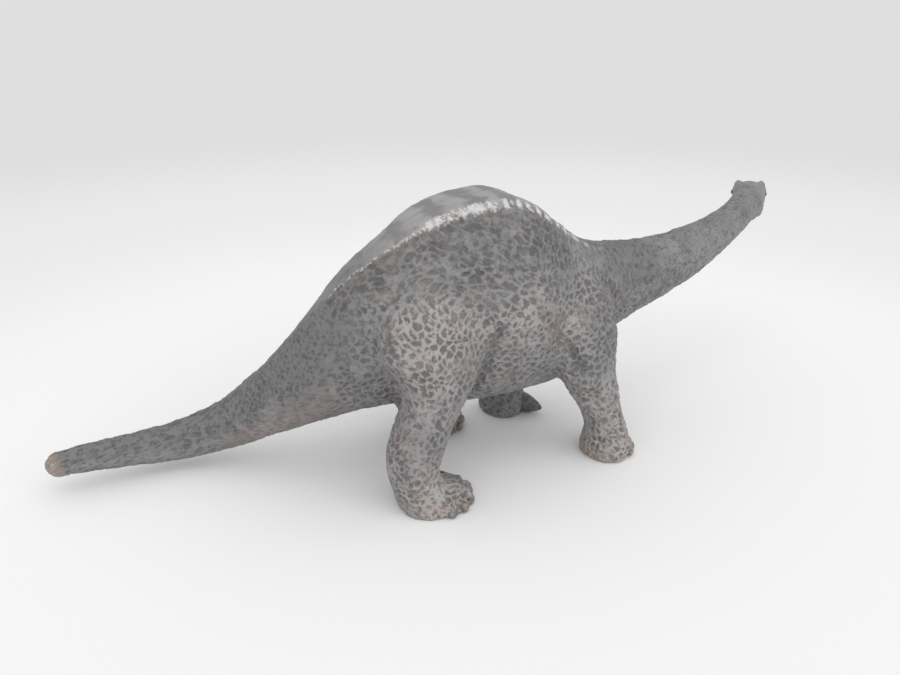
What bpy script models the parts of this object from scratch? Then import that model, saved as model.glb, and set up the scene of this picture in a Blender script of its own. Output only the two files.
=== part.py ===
"""Moulded vinyl sauropod figure, sculpted whole and then parted into the eight mouldings it is glued from.

The sculpt frame has its origin on the ground under the hips, +X towards the head and +Y to the figure's left.
A root empty then carries every moulding so that the middle of the whole footprint is the origin.
"""
import math

import bmesh
import bpy
import numpy as np
from mathutils import Matrix, Vector

# Body
BACK_HEIGHT = 0.1250          # ground to the top of the hump
BODY_LENGTH = 0.104           # hip line to the base of the neck
BELLY_WIDTH = 0.074
CREST_FLAT_SHARE = 0.92       # height at which the flat band cuts off each section, as a share of the section
TOP_NARROWING_SHARE = 0.10    # how much narrower a section is at its top than at its middle
TAIL_LEAN_SHARE = 0.28        # place along the tail from which its sections stand square to it

# Neck and head
NECK_LENGTH = 0.140
NECK_RISE = 0.0195            # from the base of the neck to the back of the head
NECK_DEPTH_SHARE = 0.328      # depth at the base, as a share of BACK_HEIGHT
NECK_TURN = math.radians(43.0)
NECK_TURN_POWER = 1.8
HEAD_LENGTH = 0.040
HEAD_DEPTH = 0.0165
HEAD_WIDTH = 0.0185

# Tail
TAIL_LENGTH = 0.142           # hip line to the tip, straight back
TAIL_SWING = 0.055            # sideways, to the figure's left
TAIL_TIP_HEIGHT = 0.0145
TAIL_ROOT_DEPTH_SHARE = 0.496     # share of BACK_HEIGHT
TAIL_ROOT_HEIGHT_SHARE = 0.516    # share of BACK_HEIGHT

# Legs: heights as shares of BACK_HEIGHT, widths of BELLY_WIDTH, and lengths and strides of BODY_LENGTH
THIGH_HEIGHT_SHARE = 0.7598
THIGH_LENGTH_SHARE = 0.481
THIGH_WIDTH_SHARE = 0.419
SHOULDER_HEIGHT_SHARE = 0.7040
SHOULDER_PLACE_SHARE = 0.7596     # hip line to shoulder line
UPPER_ARM_LENGTH_SHARE = 0.327
UPPER_ARM_WIDTH_SHARE = 0.365
FOOT_GAUGE_SHARE = 0.8514         # between the lines on which the right and left feet stand
REAR_RIGHT_STRIDE_SHARE = -0.0385
REAR_LEFT_STRIDE_SHARE = 0.3077
FRONT_RIGHT_STRIDE_SHARE = 0.1154
FRONT_LEFT_STRIDE_SHARE = -0.0481
REAR_FOOT_SHARE = 0.25
FRONT_FOOT_SHARE = 0.178
TOE_DIAMETER = 0.0072
TOE_SPLAY = math.radians(24.0)
SOLE_SINK = 0.0012            # how deep the sculpted feet reach below the ground that cuts their soles flat

# Mouldings
WALL = 0.0032
FIT_GAP = 0.0003
SEAM_MARGIN = 0.0032          # how far outside a leg's own outline its seam runs
HIP_SEAM_SHARE = 0.2635       # mid-plane to the leg's seam face at its plug, as a share of BELLY_WIDTH
HIP_SEAM_SLANT = math.radians(11.0)
LEG_PLUG_WIDTH = 0.0115
LEG_PLUG_DEPTH = 0.007
BODY_PLUG_WIDTH = 0.016
BODY_PLUG_DEPTH = 0.0085
NECK_SEAM_SHARE = 0.05        # place of the neck seam along the neck
TAIL_SEAM_SHARE = 0.31        # hip line to the tail seam, as a share of TAIL_LENGTH
TAIL_SEAM_PITCH = math.radians(15.0)
PIN_DIAMETER = 0.0045
PIN_LENGTH = 0.005

PLUG_TAPER_SHARE = 0.85       # tip of a leg's plug
KEY_WIDTH_SHARE = 0.80        # width of the neck's and tail's plugs, as a share of their height
# Where the wall between the halves stops following the spine, on TAIL_LENGTH and BODY_LENGTH
WALL_LINE_SHARES = (0.60, 1.15)

# Sizes that follow from those
NECK_BASE_DEPTH = BACK_HEIGHT * NECK_DEPTH_SHARE
TAIL_ROOT_DEPTH = BACK_HEIGHT * TAIL_ROOT_DEPTH_SHARE
TAIL_ROOT_HEIGHT = BACK_HEIGHT * TAIL_ROOT_HEIGHT_SHARE
FOOT_GAUGE = BELLY_WIDTH * FOOT_GAUGE_SHARE
HIP_TO_SHOULDER = BODY_LENGTH * SHOULDER_PLACE_SHARE

# Fineness of the sculpt
VOXEL = 0.0021
HOLLOW_VOXEL = 0.0028
HOLLOW_KEEP_SHARE = 0.25      # share of the faces that the hollow keeps
SOFTENING_SHARE = 0.5
SOFTENING_ROUNDS = 3
SCULPT_KEEP_SHARE = 0.135     # share of the faces that the sculpt keeps
RING_SIDES = 40
BALL_SIDES = 20
PIN_SIDES = 16
CUT_REACH = 0.4               # how far cutting blocks reach past the figure

# Places along the body: place, top and bottom, and width
# as shares of BODY_LENGTH, BACK_HEIGHT and BELLY_WIDTH
TORSO_SHARES = (
    (-0.04, 0.898, 0.282, 0.64),
    (0.03, 0.934, 0.252, 0.71),
    (0.10, 0.958, 0.247, 0.78),
    (0.16, 0.974, 0.244, 0.84),
    (0.23, 0.987, 0.240, 0.90),
    (0.30, 0.991, 0.236, 0.95),
    (0.37, 0.994, 0.232, 0.98),
    (0.44, 0.996, 0.232, 1.00),
    (0.52, 0.971, 0.232, 0.98),
    (0.60, 0.934, 0.232, 0.92),
    (0.67, 0.884, 0.232, 0.86),
    (0.75, 0.835, 0.240, 0.79),
    (0.84, 0.781, 0.264, 0.71),
    (0.92, 0.753, 0.320, 0.61),
    (1.00, 0.729, 0.396, 0.51),
)
# Places along the tail: back and aside as shares of TAIL_LENGTH and TAIL_SWING, the height as a share of the
# drop from root to tip, and depth and width as shares of TAIL_ROOT_DEPTH
TAIL_SHARES = (
    (0.10, 0.05, 1.06, 1.09, 0.70),
    (0.17, 0.14, 0.88, 0.82, 0.64),
    (0.225, 0.27, 0.70, 0.69, 0.58),
    (0.28, 0.42, 0.528, 0.59, 0.53),
    (0.34, 0.58, 0.370, 0.50, 0.475),
    (0.395, 0.71, 0.22, 0.435, 0.425),
    (0.45, 0.82, 0.10, 0.381, 0.38),
    (0.52, 0.92, 0.016, 0.342, 0.345),
    (0.59, 0.97, -0.033, 0.319, 0.315),
    (0.66, 0.99, -0.043, 0.292, 0.29),
    (0.73, 1.00, -0.041, 0.260, 0.265),
    (0.80, 1.00, -0.025, 0.242, 0.245),
    (0.87, 1.00, -0.01, 0.224, 0.225),
    (0.94, 1.00, -0.01, 0.210, 0.205),
    (0.97, 1.00, -0.01, 0.196, 0.19),
)
# Places along the neck: place, rise, and depth and width as shares of NECK_BASE_DEPTH
NECK_SHARES = (
    (0.18, 0.055, 0.85, 0.73),
    (0.36, 0.25, 0.67, 0.62),
    (0.50, 0.45, 0.555, 0.535),
    (0.64, 0.655, 0.475, 0.475),
    (0.79, 0.915, 0.35, 0.39),
    (0.93, 1.03, 0.295, 0.35),
)
# Places along the head: place, drop of the middle, depth and width
# as shares of HEAD_LENGTH, HEAD_DEPTH and HEAD_WIDTH
HEAD_SHARES = (
    (0.02, -0.05, 0.76, 0.80),
    (0.16, 0.02, 0.88, 0.92),
    (0.32, 0.14, 1.00, 1.00),
    (0.50, 0.26, 0.88, 0.88),
    (0.66, 0.38, 0.76, 0.78),
    (0.80, 0.47, 0.66, 0.72),
    (0.91, 0.53, 0.54, 0.62),
)
# Brow and jaw muscle on each side of the head: place, lift and distance aside, then radii along, across
# and up
CHEEK_SHARES = (
    (0.34, 0.06, 0.34, 0.19, 0.16, 0.28),
    (0.26, -0.42, 0.36, 0.20, 0.15, 0.28),
)
# Muzzle: place and lift of its middle, then radii along, across and up
MUZZLE_SHARES = (0.89, -0.53, 0.11, 0.31, 0.28)
# Rounded tip of the tail: radii along, across and up, as shares of the last section's
TAIL_TIP_SHARES = (1.25, 1.10, 1.10)
# Levels of a hind leg, from the sole up: height, back and front edge along X, middle and width across the
# figure, and how much of the stride the level takes. Shares of the leg's height and its length at the
# thigh, of half the FOOT_GAUGE, and of the thigh's width
HIND_LEG_SHARES = (
    (0.00, -0.29, 0.26, 1.00, 1.04, 1.00),
    (0.06, -0.32, 0.24, 1.00, 1.04, 1.00),
    (0.12, -0.35, 0.18, 0.99, 0.90, 0.98),
    (0.19, -0.39, 0.09, 0.98, 0.78, 0.92),
    (0.28, -0.41, 0.12, 0.97, 0.80, 0.80),
    (0.38, -0.36, 0.20, 0.95, 0.84, 0.66),
    (0.48, -0.27, 0.30, 0.92, 0.90, 0.50),
    (0.58, -0.28, 0.42, 0.88, 0.96, 0.34),
    (0.70, -0.43, 0.50, 0.78, 0.97, 0.18),
    (0.82, -0.44, 0.44, 0.68, 0.86, 0.06),
    (0.92, -0.34, 0.28, 0.56, 0.66, 0.00),
    (1.00, -0.16, 0.10, 0.48, 0.36, 0.00),
)
# Levels of a fore leg in the same columns, with the upper arm in the thigh's place
FORE_LEG_SHARES = (
    (0.00, -0.40, 0.24, 1.00, 1.02, 1.00),
    (0.07, -0.40, 0.24, 1.00, 1.02, 1.00),
    (0.14, -0.37, 0.26, 0.99, 0.86, 1.00),
    (0.24, -0.40, 0.18, 0.98, 0.78, 0.90),
    (0.36, -0.53, 0.19, 0.96, 0.79, 0.72),
    (0.48, -0.64, 0.23, 0.93, 0.84, 0.50),
    (0.60, -0.66, 0.33, 0.89, 0.92, 0.28),
    (0.74, -0.58, 0.41, 0.80, 0.98, 0.10),
    (0.87, -0.48, 0.40, 0.68, 0.84, 0.00),
    (1.00, -0.20, 0.16, 0.56, 0.44, 0.00),
)
# Height on each leg of the middle of its plug
HIND_PLUG_SHARE = 0.70
FORE_PLUG_SHARE = 0.74
# Where toes stand round a foot: how far out, how high, and as angles outwards from straight ahead
TOE_REACH_SHARE = 0.90
TOE_HEIGHT_SHARE = 0.42
# Radii of a toe along, across and up, as shares of TOE_DIAMETER
TOE_RADII_SHARES = (0.62, 0.46, 0.52)
TOE_ANGLES = tuple(math.radians(degrees) for degrees in (-52.0, -22.0, 6.0, 34.0, 62.0))
# Places of the locating pins, as shares of BODY_LENGTH and BACK_HEIGHT
PIN_SHARES = ((0.925, 0.474), (0.925, 0.682), (-0.13, 0.454), (-0.13, 0.711))
# Where the hollow begins and ends along BODY_LENGTH
HOLLOW_SHARES = (-0.05, 0.87)

VINYL_GREY = (0.23, 0.225, 0.22, 1.0)
VINYL_ROUGHNESS = 0.62


def smooth_rows(rows, steps):
    """Rows of numbers on a smooth curve through the given rows, with the given steps between neighbours."""
    table = np.array(rows, dtype=float)
    padded = np.vstack((2 * table[0] - table[1], table, 2 * table[-1] - table[-2]))
    finer = []
    for before, start, end, after in zip(padded, padded[1:], padded[2:], padded[3:]):
        for t in np.linspace(0, 1, steps, endpoint=False):
            finer.append(0.5 * (2 * start + (end - before) * t
                                + (2 * before - 5 * start + 4 * end - after) * t ** 2
                                + (3 * start - before - 3 * end + after) * t ** 3))
    finer.append(table[-1])
    return np.array(finer)


def neck_direction(share):
    heading = NECK_TURN * share ** NECK_TURN_POWER
    return Vector((math.cos(heading), math.sin(heading), 0))


def neck_base():
    top, bottom = (BACK_HEIGHT * share for share in TORSO_SHARES[-1][1:3])
    return Vector((BODY_LENGTH, 0, (top + bottom) / 2))


def neck_point(share, rise_share):
    """Middle of the neck, walked along its growing turn from the base."""
    steps = max(1, round(share / 0.01))
    point = neck_base()
    for step in range(steps):
        point += neck_direction((step + 0.5) / steps * share) * (NECK_LENGTH * share / steps)
    point.z += NECK_RISE * rise_share
    return point


def spine_rows():
    """Sections of the body from the tail's tip to the snout: middle, half depth, half width and lean."""
    rows = []
    for back, aside, height, depth, width in reversed(TAIL_SHARES):
        middle_height = TAIL_TIP_HEIGHT + (TAIL_ROOT_HEIGHT - TAIL_TIP_HEIGHT) * height
        rows.append((-TAIL_LENGTH * back, TAIL_SWING * aside, middle_height,
                     TAIL_ROOT_DEPTH * depth / 2, TAIL_ROOT_DEPTH * width / 2,
                     min(1, back / TAIL_LEAN_SHARE)))
    for place, top, bottom, width in TORSO_SHARES:
        rows.append((BODY_LENGTH * place, 0, BACK_HEIGHT * (top + bottom) / 2,
                     BACK_HEIGHT * (top - bottom) / 2, BELLY_WIDTH * width / 2, 0))
    for place, rise, depth, width in NECK_SHARES:
        rows.append((*neck_point(place, rise), NECK_BASE_DEPTH * depth / 2, NECK_BASE_DEPTH * width / 2, 1))
    for place, drop, depth, width in HEAD_SHARES:
        rows.append((*head_point(place, -drop), HEAD_DEPTH * depth / 2, HEAD_WIDTH * width / 2, 1))
    return rows


def head_point(place, lift, aside=0.0):
    """A place in the head: along it, up and to its left, as shares of its length, depth and width."""
    ahead = neck_direction(1.0)
    left = Vector((-ahead.y, ahead.x, 0))
    point = neck_point(1.0, 1.0) + ahead * (HEAD_LENGTH * place) + left * (HEAD_WIDTH * aside)
    point.z += HEAD_DEPTH * lift
    return point


def add_ring(bm, middle, side, up, crest_share=1.0, narrowing=0.0):
    """A closed loop of edges round a middle. A crest share under 1 cuts its top flat."""
    made = bmesh.ops.create_circle(bm, cap_ends=False, segments=RING_SIDES, radius=1.0)
    for vertex in made["verts"]:
        across, height = vertex.co.x, vertex.co.y
        if height > 0:
            height = min(height, crest_share) / crest_share
            across *= 1.0 - narrowing * height
        vertex.co = middle + side * across + up * height
    return list({edge for vertex in made["verts"] for edge in vertex.link_edges})


def loft(bm, sections):
    """One closed skin over a row of rings."""
    rings = [add_ring(bm, *section) for section in sections]
    for ring, following in zip(rings, rings[1:]):
        bmesh.ops.bridge_loops(bm, edges=ring + following)
    for end in (rings[0], rings[-1]):
        bmesh.ops.contextual_create(bm, geom=end)


def add_ball(bm, middle, radii, turn=0.0):
    placing = Matrix.Translation(middle) @ Matrix.Rotation(turn, 4, "Z") @ Matrix.Diagonal((*radii, 1.0))
    bmesh.ops.create_uvsphere(bm, u_segments=BALL_SIDES, v_segments=BALL_SIDES // 2, radius=1.0,
                              matrix=placing)


def mesh_object(name, bm, is_cutter=False):
    bmesh.ops.recalc_face_normals(bm, faces=bm.faces)
    mesh = bpy.data.meshes.new(name)
    bm.to_mesh(mesh)
    bm.free()
    made = bpy.data.objects.new(name, mesh)
    bpy.context.scene.collection.objects.link(made)
    if is_cutter:
        made.hide_render = True
        made.display_type = "WIRE"
    return made


def spine_sections(rows):
    """Rings with a flat crest, square to the spine as far as their lean goes."""
    middles = [Vector(row[:3]) for row in rows]
    sections = []
    for index, row in enumerate(rows):
        ahead = (middles[min(index + 1, len(rows) - 1)] - middles[max(index - 1, 0)]).normalized()
        ahead = Vector((ahead.x, ahead.y, ahead.z * row[5])).normalized()
        up = (Vector((0, 0, 1)) - ahead * ahead.z).normalized()
        left = up.cross(ahead)
        sections.append((middles[index], left * row[4], up * row[3], CREST_FLAT_SHARE, TOP_NARROWING_SHARE))
    return sections


class Leg:
    """One leg: its levels as real sizes, its outline seen from the side, and its plug."""

    def __init__(self, name, is_hind, side, stride_share):
        self.name = name
        self.side = side
        self.joint_x = 0 if is_hind else HIP_TO_SHOULDER
        height = BACK_HEIGHT * (THIGH_HEIGHT_SHARE if is_hind else SHOULDER_HEIGHT_SHARE)
        length = BODY_LENGTH * (THIGH_LENGTH_SHARE if is_hind else UPPER_ARM_LENGTH_SHARE)
        width = BELLY_WIDTH * (THIGH_WIDTH_SHARE if is_hind else UPPER_ARM_WIDTH_SHARE)
        shares = HIND_LEG_SHARES if is_hind else FORE_LEG_SHARES
        stride = BODY_LENGTH * stride_share
        self.plug_height = height * (HIND_PLUG_SHARE if is_hind else FORE_PLUG_SHARE)
        self.foot_x = self.joint_x + stride
        self.foot_length = BODY_LENGTH * (REAR_FOOT_SHARE if is_hind else FRONT_FOOT_SHARE)
        self.foot_width = width * shares[0][4]
        self.levels = []
        for level, back, front, aside, across, strides in shares:
            shift = self.joint_x + stride * strides
            self.levels.append((height * level, shift + length * back, shift + length * front,
                                FOOT_GAUGE / 2 * aside, width * across / 2))

    def sections(self):
        rings = []
        for height, back, front, aside, half_width in smooth_rows(self.levels, 3):
            middle = Vector(((back + front) / 2, self.side * aside, height))
            rings.append((middle, Vector((0, half_width, 0)), Vector(((front - back) / 2, 0, 0))))
        rings[0][0].z = -SOLE_SINK
        return rings

    def toes(self):
        """Middle and radii of each toe, round the front of the foot."""
        places = []
        for angle in TOE_ANGLES:
            bearing = self.side * (angle + TOE_SPLAY)
            foot = Vector((self.foot_x, self.side * FOOT_GAUGE / 2, TOE_DIAMETER * TOE_HEIGHT_SHARE))
            reach = Vector((math.cos(bearing) * self.foot_length, math.sin(bearing) * self.foot_width, 0))
            places.append((foot + reach * (TOE_REACH_SHARE / 2), bearing))
        return places

    def outline(self, margin):
        """Side view of the seam, from the back of the sole over the top to the front of the sole."""
        toe_x = max(place.x for place, bearing in self.toes()) + TOE_DIAMETER / 2
        rows = smooth_rows(self.levels, 2)
        back = [Vector((row[1], row[0])) for row in rows]
        front = [Vector((row[2], row[0])) for row in rows]
        for point in front:
            if point.y < 2 * TOE_DIAMETER:
                point.x = max(point.x, toe_x)
        back[0].y = front[0].y = -SOLE_SINK
        path = back + front[::-1]
        moved = []
        for index, point in enumerate(path):
            along = path[min(index + 1, len(path) - 1)] - path[max(index - 1, 0)]
            moved.append(point + Vector((-along.y, along.x)).normalized() * margin)
        return moved

    def seam_y(self, height):
        """Distance from the mid-plane to the slanted seam face."""
        return BELLY_WIDTH * HIP_SEAM_SHARE + math.tan(HIP_SEAM_SLANT) * (height - self.plug_height)

    def region(self, name, gap, floor):
        """The block of space that belongs to this leg, grown by a gap and cut off at a floor."""
        bm = bmesh.new()
        outline = self.outline(SEAM_MARGIN + gap)
        outline[0].y = outline[-1].y = floor
        inner = [(point.x, self.side * (self.seam_y(point.y) - gap), point.y) for point in outline]
        face = bm.faces.new([bm.verts.new(corner) for corner in inner])
        grown = bmesh.ops.extrude_face_region(bm, geom=[face])
        for vertex in grown["geom"]:
            if isinstance(vertex, bmesh.types.BMVert):
                vertex.co.y = self.side * CUT_REACH / 2
        return mesh_object(name, bm, is_cutter=True)

    def plug(self, name, gap):
        """A tapered square plug on the seam face, pointing at the mid-plane."""
        bm = bmesh.new()
        half_width = LEG_PLUG_WIDTH / math.sqrt(2) + gap * math.sqrt(2)
        length = 2 * LEG_PLUG_DEPTH + gap
        seam_y = self.seam_y(self.plug_height)
        turn = Matrix.Rotation(-self.side * math.pi / 2, 4, "X") @ Matrix.Rotation(math.pi / 4, 4, "Z")
        middle_y = self.side * (seam_y + LEG_PLUG_DEPTH - length / 2)
        placing = Matrix.Translation((self.joint_x, middle_y, self.plug_height)) @ turn
        bmesh.ops.create_cone(bm, cap_ends=True, segments=4, radius1=half_width * PLUG_TAPER_SHARE,
                              radius2=half_width, depth=length, matrix=placing)
        return mesh_object(name, bm, is_cutter=True)


def frame_at(origin, ahead):
    """A placing whose X axis looks ahead and whose Z axis is as upright as it can be."""
    ahead = ahead.normalized()
    up = (Vector((0, 0, 1)) - ahead * ahead.z).normalized()
    left = up.cross(ahead)
    turn = Matrix((ahead, left, up)).transposed().to_4x4()
    return Matrix.Translation(origin) @ turn


def block(name, placing, lengths):
    """A block that starts at the placing's origin along X and is centred on it across."""
    bm = bmesh.new()
    shape = placing @ Matrix.Translation((lengths[0] / 2, 0, 0)) @ Matrix.Diagonal((*lengths, 1.0))
    bmesh.ops.create_cube(bm, size=1.0, matrix=shape)
    return mesh_object(name, bm, is_cutter=True)


def neck_seam():
    return frame_at(neck_point(NECK_SEAM_SHARE, NECK_SEAM_SHARE), neck_direction(NECK_SEAM_SHARE))


def tail_seam():
    """Placing of the tail's seam, looking back along the tail."""
    rows = smooth_rows(spine_rows(), 6)
    index = int(np.argmin(np.abs(rows[:, 0] + TAIL_LENGTH * TAIL_SEAM_SHARE)))
    back = Vector(rows[index - 1][:3]) - Vector(rows[index + 1][:3])
    back.z = -math.tan(TAIL_SEAM_PITCH) * back.xy.length
    return frame_at(Vector(rows[index][:3]), back)


def end_region(name, seam, gap):
    """Everything past an end seam, moved in by a gap."""
    lengths = (CUT_REACH, CUT_REACH / 2, 2 * NECK_BASE_DEPTH)
    return block(name, seam @ Matrix.Translation((-gap, 0, 0)), lengths)


def end_plug(name, seam, gap):
    """A keyed plug on an end seam, pointing into the body."""
    width = BODY_PLUG_WIDTH * KEY_WIDTH_SHARE + 2 * gap
    placing = seam @ Matrix.Translation((-BODY_PLUG_DEPTH - gap, 0, 0))
    return block(name, placing, (2 * BODY_PLUG_DEPTH + gap, width, BODY_PLUG_WIDTH + 2 * gap))


def half_region(name, side):
    """Everything to one side of the upright wall that follows the spine, half a gap away from it."""
    bm = bmesh.new()
    rows = smooth_rows(spine_rows(), 2)
    start, end = -TAIL_LENGTH * WALL_LINE_SHARES[0], BODY_LENGTH * WALL_LINE_SHARES[1]
    rows = [row for row in rows if start < row[0] < end]
    wall = [Vector((row[0], row[1] + side * FIT_GAP / 2, -BACK_HEIGHT)) for row in rows]
    wall[0].x = -CUT_REACH
    wall[-1].x = CUT_REACH
    far = [Vector((point.x, side * CUT_REACH, point.z)) for point in (wall[-1], wall[0])]
    face = bm.faces.new([bm.verts.new(point) for point in wall + far])
    grown = bmesh.ops.extrude_face_region(bm, geom=[face])
    for vertex in grown["geom"]:
        if isinstance(vertex, bmesh.types.BMVert):
            vertex.co.z = BACK_HEIGHT * 2
    return mesh_object(name, bm, is_cutter=True)


def spine_y(x):
    rows = np.array(smooth_rows(spine_rows(), 4))
    return float(np.interp(x, rows[:, 0], rows[:, 1]))


def pin_set(name, gap):
    """The locating pins of the two halves, along Y."""
    bm = bmesh.new()
    for along, height in PIN_SHARES:
        x = BODY_LENGTH * along
        length = 2 * PIN_LENGTH + gap
        middle = Vector((x, spine_y(x) + PIN_LENGTH - length / 2, BACK_HEIGHT * height))
        placing = Matrix.Translation(middle) @ Matrix.Rotation(math.pi / 2, 4, "X")
        radius = PIN_DIAMETER / 2 + gap
        bmesh.ops.create_cone(bm, cap_ends=True, segments=PIN_SIDES, radius1=radius, radius2=radius,
                              depth=length, matrix=placing)
    return mesh_object(name, bm, is_cutter=True)


def hollow(name, legs):
    """The space inside the body shell, a full wall away from its skin, its seams and its sockets."""
    start, end = (BODY_LENGTH * share for share in HOLLOW_SHARES)
    rows = smooth_rows(spine_rows(), 3)
    inner = [(*row[:3], row[3] - WALL, row[4] - WALL, row[5]) for row in rows if start < row[0] < end]
    bm = bmesh.new()
    loft(bm, spine_sections(inner))
    made = mesh_object(name, bm, is_cutter=True)
    for leg in legs:
        cut(made, leg.region(leg.name + "_wall", FIT_GAP + WALL, -SOLE_SINK), "DIFFERENCE")
        cut(made, leg.plug(leg.name + "_boss", FIT_GAP + WALL), "DIFFERENCE")
    return reskin(made, HOLLOW_VOXEL, HOLLOW_KEEP_SHARE)


def add_head_forms(bm):
    """Brows, jaw muscles and the rounded muzzle."""
    heading = math.atan2(neck_direction(1.0).y, neck_direction(1.0).x)
    for side in (-1, 1):
        for place, lift, aside, length, width, depth in CHEEK_SHARES:
            radii = Vector((length * HEAD_LENGTH, width * HEAD_WIDTH, depth * HEAD_DEPTH))
            add_ball(bm, head_point(place, lift, side * aside), radii, heading)
    place, lift, length, width, depth = MUZZLE_SHARES
    radii = Vector((length * HEAD_LENGTH, width * HEAD_WIDTH, depth * HEAD_DEPTH))
    add_ball(bm, head_point(place, lift), radii, heading)


def sculpt(legs):
    """The whole figure as one closed skin."""
    bm = bmesh.new()
    rows = smooth_rows(spine_rows(), 3)
    loft(bm, spine_sections(rows))
    tip_depth, tip_width = rows[0][3:5]
    tip_sizes = zip((tip_width, tip_width, tip_depth), TAIL_TIP_SHARES)
    add_ball(bm, Vector(rows[0][:3]), Vector([size * share for size, share in tip_sizes]))
    add_head_forms(bm)
    for leg in legs:
        loft(bm, leg.sections())
        for place, bearing in leg.toes():
            add_ball(bm, place, TOE_DIAMETER * Vector(TOE_RADII_SHARES), bearing)
    return reskin(mesh_object("sculpt", bm, is_cutter=True), VOXEL, SCULPT_KEEP_SHARE)


def reskin(worked, voxel, keep_share):
    """Give an object one closed, softened skin with few faces."""
    remesh = worked.modifiers.new("Skin", "REMESH")
    remesh.mode = "VOXEL"
    remesh.voxel_size = voxel
    smooth = worked.modifiers.new("Soften", "SMOOTH")
    smooth.factor = SOFTENING_SHARE
    smooth.iterations = SOFTENING_ROUNDS
    thin = worked.modifiers.new("Thin", "DECIMATE")
    thin.ratio = keep_share
    return settle(worked)


def settle(worked):
    """Replace an object's modifiers with the shape that they make."""
    depsgraph = bpy.context.evaluated_depsgraph_get()
    mesh = bpy.data.meshes.new_from_object(worked.evaluated_get(depsgraph), depsgraph=depsgraph)
    worked.modifiers.clear()
    worked.data = mesh
    return worked


def cut(worked, tool, operation):
    boolean = worked.modifiers.new(tool.name, "BOOLEAN")
    boolean.operation = operation
    boolean.solver = "EXACT"
    boolean.object = tool


def vinyl(name):
    material = bpy.data.materials.new(name)
    material.use_nodes = True
    shader = material.node_tree.nodes["Principled BSDF"]
    shader.inputs["Base Color"].default_value = VINYL_GREY
    shader.inputs["Roughness"].default_value = VINYL_ROUGHNESS
    shader.inputs["Metallic"].default_value = 0.0
    return material


def moulding(name, whole):
    """A new node that starts as the whole sculpt."""
    made = bpy.data.objects.new(name, whole.data.copy())
    bpy.context.scene.collection.objects.link(made)
    made.data.materials.clear()
    made.data.materials.append(vinyl(name + "_vinyl"))
    made.data.shade_smooth()
    return made


def make_legs(whole, legs):
    made = []
    for leg in legs:
        piece = moulding(leg.name, whole)
        cut(piece, leg.region(leg.name + "_space", 0, 0), "INTERSECT")
        cut(piece, leg.plug(leg.name + "_plug", 0), "UNION")
        made.append(piece)
    return made


def make_ends(whole):
    made = []
    for name, seam in (("neck_and_head", neck_seam()), ("tail", tail_seam())):
        piece = moulding(name, whole)
        cut(piece, end_region(name + "_space", seam, 0), "INTERSECT")
        cut(piece, end_plug(name + "_plug", seam, 0), "UNION")
        made.append(piece)
    return made


def make_torso(whole, legs):
    """The body shell, hollowed and socketed, then parted along the spine."""
    core = moulding("torso_core", whole)
    core.hide_render = True
    core.display_type = "WIRE"
    for name, seam in (("neck", neck_seam()), ("tail", tail_seam())):
        cut(core, end_region(name + "_clearance", seam, FIT_GAP), "DIFFERENCE")
        cut(core, end_plug(name + "_socket", seam, FIT_GAP), "DIFFERENCE")
    for leg in legs:
        cut(core, leg.region(leg.name + "_clearance", FIT_GAP, -2 * SOLE_SINK), "DIFFERENCE")
        cut(core, leg.plug(leg.name + "_socket", FIT_GAP), "DIFFERENCE")
    cut(core, hollow("hollow", legs), "DIFFERENCE")
    settle(core)
    left = moulding("torso_left_shell", core)
    cut(left, half_region("left_half", 1), "INTERSECT")
    cut(left, pin_set("pins", 0), "UNION")
    right = moulding("torso_right_shell", core)
    cut(right, half_region("right_half", -1), "INTERSECT")
    cut(right, pin_set("pin_holes", FIT_GAP), "DIFFERENCE")
    return [left, right]


def stand_on_origin(pieces):
    """Carry pieces and cutters on an empty, so that the middle of the whole footprint is the origin."""
    root = bpy.data.objects.new("root", None)
    bpy.context.scene.collection.objects.link(root)
    depsgraph = bpy.context.evaluated_depsgraph_get()
    corners = []
    for piece in pieces:
        corners += [Vector(corner) for corner in piece.evaluated_get(depsgraph).bound_box]
    low = [min(corner[axis] for corner in corners) for axis in range(3)]
    high = [max(corner[axis] for corner in corners) for axis in range(3)]
    root.location = (-(low[0] + high[0]) / 2, -(low[1] + high[1]) / 2, -low[2])
    for carried in bpy.data.objects:
        if carried is not root:
            carried.parent = root


def main():
    for old in list(bpy.data.objects):
        bpy.data.objects.remove(old)
    legs = [
        Leg("rear_right_leg", True, -1, REAR_RIGHT_STRIDE_SHARE),
        Leg("rear_left_leg", True, 1, REAR_LEFT_STRIDE_SHARE),
        Leg("front_right_leg", False, -1, FRONT_RIGHT_STRIDE_SHARE),
        Leg("front_left_leg", False, 1, FRONT_LEFT_STRIDE_SHARE),
    ]
    whole = sculpt(legs)
    pieces = make_torso(whole, legs) + make_ends(whole) + make_legs(whole, legs)
    stand_on_origin(pieces)


main()
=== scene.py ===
"""Looks for the moulded vinyl sauropod figure.

The whole skin is lofted from sections, given its moulded relief on one dense mesh, and parted along the seams
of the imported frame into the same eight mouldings. Tables are in millimetres, in the frame's own directions:
+X towards the head, +Y to the figure's left, origin on the ground under the middle of the figure.
"""
import math

import bmesh
import bpy
import numpy as np
from mathutils import Matrix, Vector


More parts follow.
